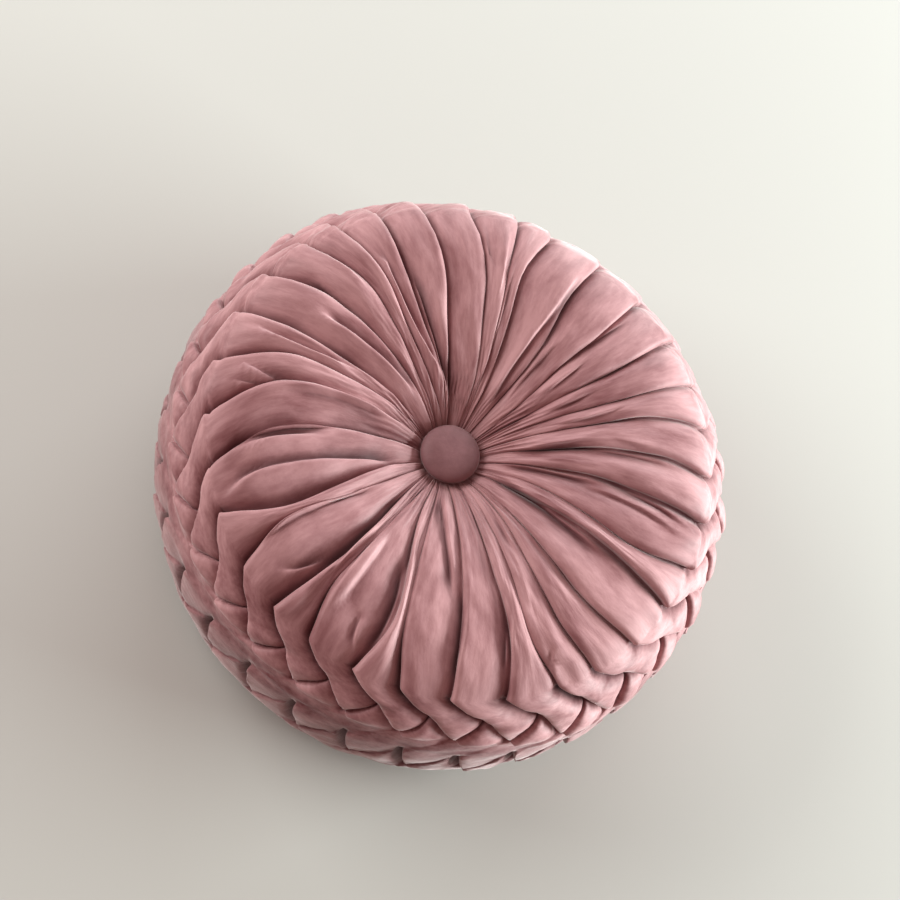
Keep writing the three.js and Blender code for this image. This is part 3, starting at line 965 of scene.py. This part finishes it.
def grain(tree, place, look):
    """Noise that follows the cloth's own coordinates."""
    longer = tree.nodes.new("ShaderNodeVectorMath")
    longer.operation = "MULTIPLY"
    longer.inputs[1].default_value = (1, 1, 1 / look.stretch)
    tree.links.new(place, longer.inputs[0])
    noise = tree.nodes.new("ShaderNodeTexNoise")
    noise.inputs["Scale"].default_value = look.scale
    noise.inputs["Detail"].default_value = look.detail
    noise.inputs["Roughness"].default_value = GRAIN_ROUGHNESS
    tree.links.new(longer.outputs["Vector"], noise.inputs["Vector"])
    return ranged(tree, noise.outputs["Fac"], look.counts, look.values)


def added(tree, a, b):
    """The sum of two values."""
    node = tree.nodes.new("ShaderNodeMath")
    node.operation = "ADD"
    tree.links.new(a, node.inputs[0])
    tree.links.new(b, node.inputs[1])
    return node.outputs["Value"]


def mixed(tree, low, high, factor):
    """A node that mixes two colours."""
    node = tree.nodes.new("ShaderNodeMix")
    node.data_type = "RGBA"
    node.inputs["A"].default_value = (*low, 1)
    node.inputs["B"].default_value = (*high, 1)
    tree.links.new(factor, node.inputs["Factor"])
    return node


def pile_colour(tree, place, highlight_and_mottle, deep, bright):
    """Crushed pile, brushed in changing directions, and paler by the share it is given: a painted
    highlight on the cover's crests, random mottle on a button.
    """
    brushed = grain(tree, place, BRUSHED)
    mottled = grain(tree, place, MOTTLED)
    streaked = grain(tree, place, STREAKED)
    pale = added(tree, added(tree, highlight_and_mottle, brushed), added(tree, mottled, streaked))
    return mixed(tree, deep, bright, pale).outputs["Result"]


def velvet(name, sheen):
    """A new material with velvet's gloss and sheen, its node tree and its shader."""
    material = bpy.data.materials.new(name)
    material.use_nodes = True
    shader = material.node_tree.nodes["Principled BSDF"]
    shader.inputs["Specular IOR Level"].default_value = SPECULAR
    shader.inputs["Sheen Weight"].default_value = sheen
    shader.inputs["Sheen Roughness"].default_value = SHEEN_ROUGHNESS
    shader.inputs["Sheen Tint"].default_value = SHEEN_TINT
    return material, material.node_tree, shader


def dress(tree, shader, place, colour):
    """Gives a velvet its colour, its uneven roughness and the fine bump of its pile."""
    tree.links.new(colour, shader.inputs["Base Color"])
    tree.links.new(grain(tree, place, ROUGHNESS), shader.inputs["Roughness"])
    bump = tree.nodes.new("ShaderNodeBump")
    bump.inputs["Strength"].default_value = BUMP_STRENGTH
    bump.inputs["Distance"].default_value = BUMP_DISTANCE
    height = added(tree, grain(tree, place, COARSE_BUMP), grain(tree, place, FINE_BUMP))
    tree.links.new(height, bump.inputs["Height"])
    tree.links.new(bump.outputs["Normal"], shader.inputs["Normal"])


def cover_velvet():
    """The cover's velvet, with a painted highlight on its crests and painted shade in its folds."""
    material, tree, shader = velvet("cover_velvet", COVER_SHEEN)
    nap = tree.nodes.new("ShaderNodeAttribute")
    nap.attribute_name = "nap"
    place = nap.outputs["Vector"]
    crest = tree.nodes.new("ShaderNodeAttribute")
    crest.attribute_name = "crest"
    # Painted highlight: the higher a crest, the further its pile is mixed towards the pale colour.
    highlight_and_mottle = ranged(tree, crest.outputs["Fac"], *HIGHLIGHT_CREST)
    # Painted shade: troughs and pockets are mixed towards a near-black red.
    painted_shade = ranged(tree, crest.outputs["Fac"], *SHADE_CREST)
    pile = pile_colour(tree, place, highlight_and_mottle, COVER_DEEP, COVER_BRIGHT)
    shaded = mixed(tree, COVER_DEEP, PAINTED_SHADE_COLOUR, painted_shade)
    tree.links.new(pile, shaded.inputs["A"])
    dress(tree, shader, place, shaded.outputs["Result"])
    return material


def button_velvet(name):
    """A button's velvet, evenly worn."""
    material, tree, shader = velvet(name, BUTTON_SHEEN)
    place = tree.nodes.new("ShaderNodeTexCoord").outputs["Object"]
    highlight_and_mottle = grain(tree, place, BUTTON_WORN)
    dress(tree, shader, place, pile_colour(tree, place, highlight_and_mottle, BUTTON_DEEP, BUTTON_BRIGHT))
    return material


def make_cover():
    """The cover, as one piece that stands for its solid."""
    cover = bpy.data.objects.new("cover_cloth", cover_mesh())
    bpy.context.scene.collection.objects.link(cover)
    cover.data.materials.append(cover_velvet())
    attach(cover, "root")
    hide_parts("cover")


def button_points():
    """Points of a button that stands on its flat side, ring by ring from below."""
    points = [(0, 0, 0)]
    for r, h in BUTTON_SECTION[1:-1]:
        for i in range(BUTTON_SIDES):
            angle = 2 * math.pi * i / BUTTON_SIDES
            points.append((r * math.cos(angle), r * math.sin(angle), h))
    return points + [(0, 0, BUTTON_SECTION[-1][1])]


def button_faces():
    """Faces between the rings of a button, closed in the middle of its flat side and its top."""
    rings = [1 + ring * BUTTON_SIDES for ring in range(len(BUTTON_SECTION) - 2)]
    top = rings[-1] + BUTTON_SIDES
    faces = []
    for i in range(BUTTON_SIDES):
        j = (i + 1) % BUTTON_SIDES
        faces.append((0, 1 + j, 1 + i))
        for low, high in zip(rings, rings[1:]):
            faces.append((low + i, low + j, high + j, high + i))
        faces.append((rings[-1] + i, rings[-1] + j, top))
    return faces


def make_button(name, node, seat, turn):
    """A cloth-covered button on its seat in a gather, as a piece that stands for its solid."""
    mesh = smooth_mesh(name, button_points(), button_faces())
    mesh.transform(Matrix.Translation(Vector(seat) * MM) @ turn)
    button = bpy.data.objects.new(name, mesh)
    bpy.context.scene.collection.objects.link(button)
    smooth = button.modifiers.new("smooth", "SUBSURF")
    smooth.levels = smooth.render_levels = 1
    mesh.materials.append(button_velvet(name + "_velvet"))
    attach(button, "root")
    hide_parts(node)


def make_camera():
    """The camera at the photograph's angle."""
    axis = Vector((-math.sin(TILT_AXIS), math.cos(TILT_AXIS), 0))
    turn = Matrix.Rotation(TILT, 3, axis).transposed()
    data = bpy.data.cameras.new("camera")
    data.lens = LENS
    data.sensor_width = SENSOR
    data.shift_x = SHIFT_X
    data.shift_y = SHIFT_Y
    camera = bpy.data.objects.new("camera", data)
    place = TARGET + turn @ Vector((0, 0, DISTANCE))
    camera.matrix_world = Matrix.Translation(place) @ turn.to_4x4()
    bpy.context.scene.collection.objects.link(camera)
    bpy.context.scene.camera = camera


def make_lamp(lamp):
    """A soft box that faces the cushion."""
    azimuth = math.radians(lamp.azimuth)
    elevation = math.radians(lamp.elevation)
    level = math.cos(elevation)
    way = Vector((level * math.cos(azimuth), level * math.sin(azimuth), math.sin(elevation)))
    data = bpy.data.lights.new(lamp.name, "AREA")
    data.shape = "RECTANGLE"
    data.size = lamp.width
    data.size_y = lamp.height
    data.energy = lamp.power
    data.color = lamp.colour
    light = bpy.data.objects.new(lamp.name, data)
    light.location = TARGET + way * lamp.distance
    light.rotation_mode = "QUATERNION"
    light.rotation_quaternion = way.to_track_quat("Z", "Y")
    bpy.context.scene.collection.objects.link(light)


def make_world():
    """Even light from all round."""
    world = bpy.data.worlds.new("studio")
    world.use_nodes = True
    background = world.node_tree.nodes["Background"]
    background.inputs["Color"].default_value = WORLD_COLOUR
    background.inputs["Strength"].default_value = WORLD_STRENGTH
    bpy.context.scene.world = world
    bpy.context.scene.view_settings.view_transform = "Standard"


def make_floor():
    """A plain pale floor, which isn't part of the object."""
    corners = [(-1, -1), (1, -1), (1, 1), (-1, 1)]
    mesh = bpy.data.meshes.new("floor")
    mesh.from_pydata([(x * FLOOR_REACH, y * FLOOR_REACH, 0) for x, y in corners], [], [(0, 1, 2, 3)])
    material = bpy.data.materials.new("floor")
    material.use_nodes = True
    shader = material.node_tree.nodes["Principled BSDF"]
    shader.inputs["Base Color"].default_value = FLOOR_COLOUR
    shader.inputs["Roughness"].default_value = FLOOR_ROUGHNESS
    mesh.materials.append(material)
    floor = bpy.data.objects.new("floor", mesh)
    bpy.context.scene.collection.objects.link(floor)


make_cover()
FRONT_SEAT = (GATHER_X, GATHER_Y, SEAT_HEIGHT + BUTTON_GAP)
BACK_SEAT = (0, 0, BACK_SEAT_HEIGHT - BUTTON_GAP)
make_button("button_front_cloth", "button_front", FRONT_SEAT, Matrix.Identity(4))
make_button("button_back_cloth", "button_back", BACK_SEAT, Matrix.Rotation(math.pi, 4, "X"))
make_camera()
for lamp in LAMPS:
    make_lamp(lamp)
make_world()
make_floor()
